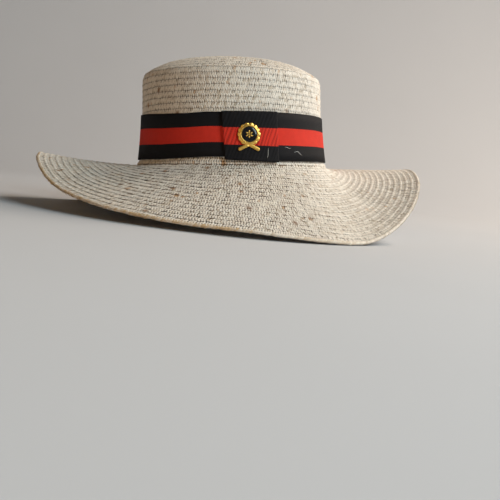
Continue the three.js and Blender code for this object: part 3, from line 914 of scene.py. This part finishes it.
def ribbon_mesh(name, outer, inner, along, height, out, closed, shift=0.0):
    """A strip of ribbon. outer and inner are its two faces, a line of points across it at each place along,
    and shift is the share of the width by which its stripe lies lower."""
    many, across = outer.shape[:2]
    sections = np.concatenate([outer, inner[:, ::-1]], 1)
    faces = skin(sections, closed_along=closed).tolist()
    if not closed:
        last, end = (many - 1) * 2 * across, 2 * across - 1
        for j in range(across - 1):
            faces.append([j + 1, j, end - j, end - j - 1])
            faces.append([last + j, last + j + 1, last + end - j - 1, last + end - j])
    mesh = mesh_of(name, placed(sections.reshape(-1, 3)), faces)
    share = np.linspace(1, 0, across) + shift
    shown = np.concatenate([np.ones(across), np.zeros(across)])
    rise, out = (np.concatenate([front, front[:, ::-1]], 1) for front in (height, out))
    point_data(mesh, "ribbon_across", np.tile(np.concatenate([share, share[::-1]]), many))
    point_data(mesh, "ribbon_along", np.repeat(along * MM, 2 * across))
    point_data(mesh, "ribbon_up", rise.ravel() * MM)
    point_data(mesh, "ribbon_face", np.tile(shown, many))
    point_data(mesh, "ribbon_out", out.reshape(-1, 3) @ LEAN.T)
    return mesh


def band_piece(ribbon, tree, finish):
    """The band round the crown, which rises slightly on its way from one end to the other."""
    end = BAND_END_GAP / 2 / HALF_WIDTH
    start = math.asin(KEEPER_CENTRE / HALF_WIDTH) + end
    fine = np.linspace(start, start + 2 * np.pi - 2 * end, BAND_SAMPLES)
    run = run_along(off_wall(fine, ribbon.width / MM / 2, RIBBON_GAP + RIBBON_PLY / 2))
    along = np.linspace(0, run[-1], int(run[-1] * MM / ribbon.rib_pitch) * RIB_POINTS + 1)
    azimuth = np.interp(along, run, fine)[:, None]
    place, low, high = np.array(BAND_EDGES, float).T
    bottom, top = (np.interp(np.degrees(azimuth), place, edge) for edge in (low, high))
    height = bottom + (top - bottom) * np.linspace(1, 0, BAND_LINES)
    azimuth = np.broadcast_to(azimuth, height.shape)
    outer = off_wall(azimuth, height, RIBBON_GAP + RIBBON_PLY - ribbon.rib_height / MM)
    inner = off_wall(azimuth, height, RIBBON_GAP + RIBBON_EASE)
    mesh = ribbon_mesh("band_strip", outer, inner, along, height, outward(azimuth), False)
    piece = grown("ribbon_band", mesh, tree, {
        "Rib pitch": ribbon.rib_pitch, "Rib height": ribbon.rib_height, "Slant": 0.0, "Wander": 0.0,
        "Groove shade": BAND_SHADE, "Finish": finish})
    finished(piece, "ribbon", "hat_band")


def keeper_piece(ribbon, tree, finish):
    """The keeper, a ribbon loop pressed flat: an outer and an inner layer joined by two round folds."""
    layer = (KEEPER_SLOT + RIBBON_PLY) / 2
    middle = 2 * (RIBBON_GAP + RIBBON_PLY) + KEEPER_SLOT / 2
    width = ribbon.keeper_width / MM
    straight = width / 2 - layer - RIBBON_PLY / 2
    fold = np.linspace(0, np.pi, FOLD_STEPS, endpoint=False)[1:]
    across, off, out_across, out_off = [], [], [], []
    for side in (1, -1):
        flat = side * straight * np.linspace(-1, 1, KEEPER_STEPS + 1)
        across += [flat, side * straight + side * layer * np.sin(fold)]
        off += [np.full_like(flat, middle + side * layer), middle + side * layer * np.cos(fold)]
        out_across += [np.zeros_like(flat), side * np.sin(fold)]
        out_off += [np.full_like(flat, side), side * np.cos(fold)]
    across, off, out_across, out_off = (
        np.concatenate(parts)[:, None] for parts in (across, off, out_across, out_off))
    up = np.linspace(1, 0, KEEPER_LINES)
    to_left = 0.5 + across / width
    bottom, top = (right + (left - right) * to_left for right, left in (KEEPER_BOTTOM, KEEPER_TOP))
    height = bottom + (top - bottom) * up

    def face(half):
        x = across + half * out_across
        lean = KEEPER_LEAN * (0.5 - up) * (0.5 - x / width)
        return off_wall(np.arcsin((KEEPER_CENTRE + x + lean) / HALF_WIDTH), height, off + half * out_off)

    half = RIBBON_PLY / 2 - RIBBON_EASE
    outer, inner = face(half - ribbon.keeper_rib_height / MM), face(-half)
    along = run_along(outer[:, 0])
    out = unit(outer - inner)
    mesh = ribbon_mesh("keeper_strip", outer, inner, along, height, out, True, ribbon.keeper_shift)
    piece = grown("ribbon_keeper", mesh, tree, {
        "Rib pitch": ribbon.keeper_rib, "Rib height": ribbon.keeper_rib_height, "Slant": ribbon.keeper_slant,
        "Wander": ribbon.keeper_wander, "Groove shade": KEEPER_SHADE, "Finish": finish})
    finished(piece, "ribbon", "band_keeper")


def lint_thread(knots):
    """One thread of lint on the ribbon, thinner towards its ends."""
    x, height, off = smooth_through(np.array(knots, float), LINT_STEPS).T
    azimuth = np.arcsin(x / HALF_WIDTH)
    path, away = off_wall(azimuth, height, off), outward(azimuth)
    side = unit(np.cross(np.gradient(path, axis=0), away))
    turn = np.linspace(0, 2 * np.pi, LINT_SIDES, endpoint=False)[None, :, None]
    radius = LINT_RADIUS * np.sin(np.linspace(LINT_TAPER, np.pi - LINT_TAPER, len(path)))[:, None, None]
    tube = path[:, None] + radius * (np.cos(turn) * side[:, None] + np.sin(turn) * away[:, None])
    first = np.arange(LINT_SIDES)
    last = first + LINT_SIDES * (len(path) - 1)
    return tube.reshape(-1, 3), turned_over([*skin(tube), first[::-1], last])


class STRAWHAT_OT_ribbon(bpy.types.Operator):
    """Lay the ribbed band round the crown and the keeper over its ends, with a few threads of lint"""
    bl_idname = "straw_hat.ribbon"
    bl_label = "Ribbon band and keeper"

    def execute(self, context):
        ribbon = context.scene.straw_hat_ribbon
        tree, finish = rib_tree(), ribbon_finish(ribbon)
        band_piece(ribbon, tree, finish)
        keeper_piece(ribbon, tree, finish)
        points, faces = joined([lint_thread(knots) for knots in LINT])
        lint = plain_finish("lint", ribbon.lint_colour, FINE_GRAIN)
        made_piece("ribbon_lint", placed(points), faces, lint, "ribbon")
        return {"FINISHED"}


# Badge

class BadgeSettings(bpy.types.PropertyGroup):
    """Sizes and colours of the badge"""
    scallops: count_prop("Scallops", "Pleats round the rosette", 14, 6, 40)
    scallop_depth: length_prop("Scallop depth", "Depth of the cuts between the pleats", 0.7)
    pleat_height: length_prop("Pleat height", "Rise of each pleat over the cuts", 0.3)
    tail_root: length_prop("Tail root", "Below the rosette's centre, where the two tails meet", 8.0)
    tail_length: length_prop("Tail length", "From the root to the tails' tips", 9.6)
    tail_width: length_prop("Tail width", "Width of each tail", 2.8)
    tail_angle: angle_prop("Tail angle", "Turn of each tail from straight down", 63)
    enamel_radius: length_prop("Enamel radius", "Radius of the enamel disc", 6.0)
    petals: count_prop("Petals", "Petals of the small flower on the enamel", 6, 3, 12)
    gilt_colour: colour_prop("Gilt", "Colour of the gilt", 0.93, 0.58, 0.13)
    enamel_colour: colour_prop("Enamel", "Colour of the enamel", 0.008, 0.008, 0.009)


ROSETTE_PROFILE = (  # (radius, height over the back, share of the pleats), mm
    (0.0, 0.5, 0), (4.0, 0.5, 0), (6.2, 0.5, 0), (6.3, 0.9, 0), (6.3, 1.2, 0), (6.5, 1.56, 0),
    (6.9, 1.74, 0), (7.3, 1.58, 0), (7.55, 1.25, 0), (7.7, 1.05, 0.3), (8.4, 1.12, 1), (8.95, 1.02, 1),
    (9.3, 0.75, 1), (9.4, 0.4, 1), (9.25, 0.1, 1), (8.9, 0.0, 0.5), (4.0, 0.0, 0), (0.0, 0.0, 0))
SCALLOP_STEPS = 10  # points round the rosette for each scallop
PLEAT_FROM = 0.3  # height over the back above which the pleats rise and fall
TAIL_SECTION = (  # (share of half the width, height over the back), along the front and then the back
    (-1, 0.1), (-0.92, 0.55), (-0.5, 0.85), (0, 0.6), (0.5, 0.85), (0.92, 0.55), (1, 0.1),
    (0.9, 0.0), (-0.9, 0.0))
TAIL_STEPS = (0, 2, 4, 6)  # sections of the straight part, mm from its root
TIP_STEPS, TIP_TURN = 7, 0.97 * math.pi / 2  # sections of the round tip, and how far round it goes
DISC_PROFILE = (  # (share of the radius, less so much, height over the back), mm
    (0, 0, 1.52), (0.35, 0, 1.5), (0.7, 0, 1.46), (1, 0.25, 1.38), (1, 0.06, 1.3), (1, 0, 1.15),
    (1, 0, 0.85), (1, 0.2, 0.8), (0, 0, 0.8))
DISC_SIDES = 64
BEAD_PROFILE = ((0, 0.42), (0.45, 0.38), (0.8, 0.26), (1, 0.06), (1, -0.04), (0, -0.04))
BEAD_SIDES, BEAD_HEIGHT = 12, 1.5
PETAL_AWAY, HEART_RADIUS = 2.05, 0.7
PETAL_LENGTH, PETAL_WIDTH = 1.15, 0.62  # mm, halves of the petals' length and width


def badge_place(points):
    """The badge's own frame, x across, y up the wall and z out of its face, to the row's frame."""
    azimuth = math.asin(BADGE_ACROSS / HALF_WIDTH)
    foot, above, below = (
        off_wall(azimuth, BADGE_HEIGHT + rise, BADGE_OFF) for rise in (0, BADGE_RADIUS, -BADGE_RADIUS))
    away = outward(np.array(azimuth))
    across = np.array((-away[1], away[0], 0))
    facing = unit(np.cross(across, above - below))
    return placed(foot + points @ np.stack([across, np.cross(facing, across), facing]))


def turned(profile, count, shape=None):
    """A closed shape turned about z from (radius, height) rows that start and end on the axis."""
    profile = np.array(profile, float)
    angle = np.linspace(0, 2 * np.pi, count, endpoint=False)
    radius, height = (np.repeat(profile[1:-1, k][:, None], count, 1) for k in (0, 1))
    if shape is not None:
        radius, height = shape(angle, radius, height)
    rings = np.stack([radius * np.cos(angle), radius * np.sin(angle), height], -1)
    faces = turned_over(skin(rings).tolist())
    first, last, i = rings.shape[0] * count, rings.shape[0] * count + 1, np.arange(count)
    after, end = (i + 1) % count, (rings.shape[0] - 1) * count
    faces += np.column_stack([np.full(count, first), i, after]).tolist()
    faces += np.column_stack([np.full(count, last), end + after, end + i]).tolist()
    poles = [(0, 0, profile[0, 1]), (0, 0, profile[-1, 1])]
    return np.concatenate([rings.reshape(-1, 3), poles]), faces


def tail(badge, side):
    """One ribbon tail of the badge, creased along its middle and round at its end."""
    half, length = badge.tail_width / MM / 2, badge.tail_length / MM
    section = np.array(TAIL_SECTION)
    tip = np.linspace(0, 1, TIP_STEPS) * TIP_TURN
    down = np.concatenate([TAIL_STEPS, length - half + half * np.sin(tip)])[:, None]
    narrow = np.concatenate([np.ones(len(TAIL_STEPS)), np.cos(tip)])[:, None]
    x = section[:, 0] * half * narrow
    y = np.broadcast_to(-down, x.shape)
    z = section[:, 1] * np.sqrt(narrow)
    cos, sin = math.cos(badge.tail_angle), side * math.sin(badge.tail_angle)
    points = np.stack([x * cos - y * sin, x * sin + y * cos - badge.tail_root / MM, z], -1)
    return points.reshape(-1, 3), capped(points, 1)


def bead(away, turn, length, width):
    """One oval bead on the enamel, away from its middle."""
    points, faces = turned(BEAD_PROFILE, BEAD_SIDES)
    cos, sin = math.cos(turn), math.sin(turn)
    about = np.array(((cos, sin, 0), (-sin, cos, 0), (0, 0, 1)))
    return (points * (length, width, 1) + (away, 0, BEAD_HEIGHT)) @ about, faces


class STRAWHAT_OT_badge(bpy.types.Operator):
    """Set the gilt rosette with its tails, the enamel disc and a small plain flower on it"""
    bl_idname = "straw_hat.badge"
    bl_label = "Gilt badge"

    def execute(self, context):
        badge = context.scene.straw_hat_badge
        gilt = gilt_finish(badge)
        pleats = np.array(ROSETTE_PROFILE)[1:-1, 2:]

        def pleated(angle, radius, height):
            lobe = np.abs(np.cos(badge.scallops * angle / 2))
            radius = radius - pleats * badge.scallop_depth / MM * (1 - np.sqrt(lobe))
            return radius, height - pleats * badge.pleat_height / MM * (1 - lobe) * (height > PLEAT_FROM)

        rosette = turned(ROSETTE_PROFILE, badge.scallops * SCALLOP_STEPS, pleated)
        points, faces = joined([rosette, tail(badge, 1), tail(badge, -1)])
        made_piece("badge_gilt", badge_place(points), faces, gilt, "gilt", "badge_rosette")

        share, less, height = np.array(DISC_PROFILE).T
        profile = np.column_stack([share * badge.enamel_radius / MM - less, height])
        points, faces = turned(profile, DISC_SIDES)
        made_piece("badge_disc", badge_place(points), faces, enamel_finish(badge), "enamel", "badge_enamel")

        turns = np.linspace(0, 2 * np.pi, badge.petals, endpoint=False) + math.pi / 2
        flower = [bead(PETAL_AWAY, turn, PETAL_LENGTH, PETAL_WIDTH) for turn in turns]
        points, faces = joined(flower + [bead(0, 0, HEART_RADIUS, HEART_RADIUS)])
        made_piece("badge_flower", badge_place(points), faces, gilt, "gilt")
        return {"FINISHED"}


# Stage

class StageSettings(bpy.types.PropertyGroup):
    """Camera, light and floor"""
    lens: number_prop("Lens", "Focal length in millimetres on the camera's sensor", 64.0)
    roll: angle_prop("Roll", "Turn of the camera about its own axis", 0.72)
    key_power: power_prop("Key light", "Power of the large light at the right", 34.5)
    front_power: power_prop("Front light", "Power of the cooler light at the front", 20.5)
    fill_power: power_prop("Fill light", "Power of the weak warm light at the left", 0.6)
    sky_strength: number_prop("Surrounding light", "Strength of the light from all round", 0.015)
    sky_colour: colour_prop("Surrounding colour", "Colour of the light from all round", 1.0, 0.88, 0.7)
    floor_colour: colour_prop("Floor", "Colour of the floor and backdrop", 0.565, 0.575, 0.6)


CAMERA_AT = np.array((-92.5, -807.8, -17.4))
CAMERA_LOOK = np.array((0.1343, 0.9879, -0.0785))
CAMERA_UP = np.array((0.0106, 0.0777, 0.9969))
CAMERA_SENSOR, CAMERA_SHIFT, CAMERA_NEAR = 36.0, 0.0022, 0.01
COVE_RADIUS, COVE_BEND, COVE_HEIGHT, COVE_MIDDLE = 3.4, 0.9, 3.0, -1.7  # metres, the last one along y
COVE_FLAT = (0.01, 0.8)  # radii of the rings on the flat floor
COVE_STEPS, COVE_SIDES = 24, 96
PAPER_GRAIN = 3
LIGHT_TARGET = (0, 0, 0.08)
LIGHTS = (  # (name, place and size in metres, spread in degrees, colour); each faces the hat
    ("key_light", (1.33, 0.36, 1.24), 1.5, 180, (1.0, 0.86, 0.72)),
    ("front_light", (0.91, -1.3, 0.93), 0.9, 180, (0.81, 0.95, 1.0)),
    ("fill_light", (-0.74, -1.58, 0.52), 0.9, 70, (1.0, 0.52, 0.06)),
)


def aim(thing, look, up):
    """Turns a camera or light to look along a direction."""
    back = -Vector(look).normalized()
    right = Vector(up).cross(back).normalized()
    thing.matrix_world = Matrix.Translation(thing.location) @ Matrix(
        (right, back.cross(right), back)).transposed().to_4x4()


class STRAWHAT_OT_stage(bpy.types.Operator):
    """Set the floor, the soft lights and the camera"""
    bl_idname = "straw_hat.stage"
    bl_label = "Stage"

    def execute(self, context):
        stage, scene = context.scene.straw_hat_stage, context.scene
        floor_height = min(0.0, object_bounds()[0].z)
        bend = np.linspace(0, np.pi / 2, COVE_STEPS)
        out = np.concatenate([COVE_FLAT, COVE_RADIUS - COVE_BEND + COVE_BEND * np.sin(bend), [COVE_RADIUS]])
        up = np.concatenate([[0, 0], COVE_BEND - COVE_BEND * np.cos(bend), [COVE_HEIGHT]])
        turn = np.linspace(0, 2 * np.pi, COVE_SIDES, endpoint=False)[:, None]
        rows = np.stack(np.broadcast_arrays(
            out * np.sin(turn), out * np.cos(turn) + COVE_MIDDLE, up + floor_height), -1)
        faces = skin(rows, closed_round=False, closed_along=True).tolist()
        faces.append(list(range(0, len(out) * COVE_SIDES, len(out))))
        mesh = mesh_of("studio_floor", rows.reshape(-1, 3), turned_over(faces))
        mesh.materials.append(plain_finish("studio_paper", stage.floor_colour, PAPER_GRAIN))
        new_object("studio_floor", mesh)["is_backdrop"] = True

        powers = (stage.key_power, stage.front_power, stage.fill_power)
        for (name, place, size, spread, colour), power in zip(LIGHTS, powers):
            light = bpy.data.lights.new(name, "AREA")
            light.energy, light.shape, light.size, light.color = power, "DISK", size, colour
            light.spread = math.radians(spread)
            lamp = new_object(name, light)
            lamp.location = place
            aim(lamp, Vector(LIGHT_TARGET) - Vector(place), (0, 0, 1))

        world = bpy.data.worlds.new("studio_air")
        world.use_nodes = True
        air = world.node_tree.nodes["Background"]
        air.inputs["Color"].default_value = stage.sky_colour
        air.inputs["Strength"].default_value = stage.sky_strength
        scene.world = world
        scene.view_settings.view_transform = "Standard"

        camera = bpy.data.cameras.new("photo_camera")
        camera.lens, camera.sensor_width, camera.shift_x = stage.lens, CAMERA_SENSOR, CAMERA_SHIFT
        camera.clip_start = CAMERA_NEAR
        eye = new_object("photo_camera", camera)
        eye.location = placed(CAMERA_AT)
        look, up = LEAN @ CAMERA_LOOK, LEAN @ CAMERA_UP
        right = np.cross(look, up)
        aim(eye, look, up * math.cos(stage.roll) - right * math.sin(stage.roll))
        scene.camera = eye
        return {"FINISHED"}


# Panel and start

class STRAWHAT_PT_panel(bpy.types.Panel):
    """The hat's settings and the buttons that build it"""
    bl_idname = "STRAWHAT_PT_panel"
    bl_label = "Straw hat"
    bl_space_type = "VIEW_3D"
    bl_region_type = "UI"
    bl_category = "Straw hat"

    def draw(self, context):
        for name, operators in STEPS:
            box = self.layout.box()
            settings = getattr(context.scene, name)
            for label in settings.__annotations__:
                box.prop(settings, label)
            for operator in operators:
                box.operator(operator.bl_idname)


SETTINGS = {
    "straw_hat_straw": StrawSettings,
    "straw_hat_ribbon": RibbonSettings,
    "straw_hat_badge": BadgeSettings,
    "straw_hat_stage": StageSettings,
}
STEPS = (
    ("straw_hat_straw", (STRAWHAT_OT_straw_core, STRAWHAT_OT_straw_rows)),
    ("straw_hat_ribbon", (STRAWHAT_OT_ribbon,)),
    ("straw_hat_badge", (STRAWHAT_OT_badge,)),
    ("straw_hat_stage", (STRAWHAT_OT_stage,)),
)
OPERATORS = [operator for name, operators in STEPS for operator in operators]
CLASSES = (*SETTINGS.values(), *OPERATORS, STRAWHAT_PT_panel)


def register():
    for cls in CLASSES:
        bpy.utils.register_class(cls)
    for name, group in SETTINGS.items():
        setattr(bpy.types.Scene, name, PointerProperty(type=group))


def unregister():
    for name in SETTINGS:
        delattr(bpy.types.Scene, name)
    for cls in reversed(CLASSES):
        bpy.utils.unregister_class(cls)


def main():
    register()
    bpy.ops.straw_hat.straw_core()
    bpy.ops.straw_hat.straw_rows()
    bpy.ops.straw_hat.ribbon()
    bpy.ops.straw_hat.badge()
    bpy.ops.straw_hat.stage()


if __name__ == "__main__":
    main()
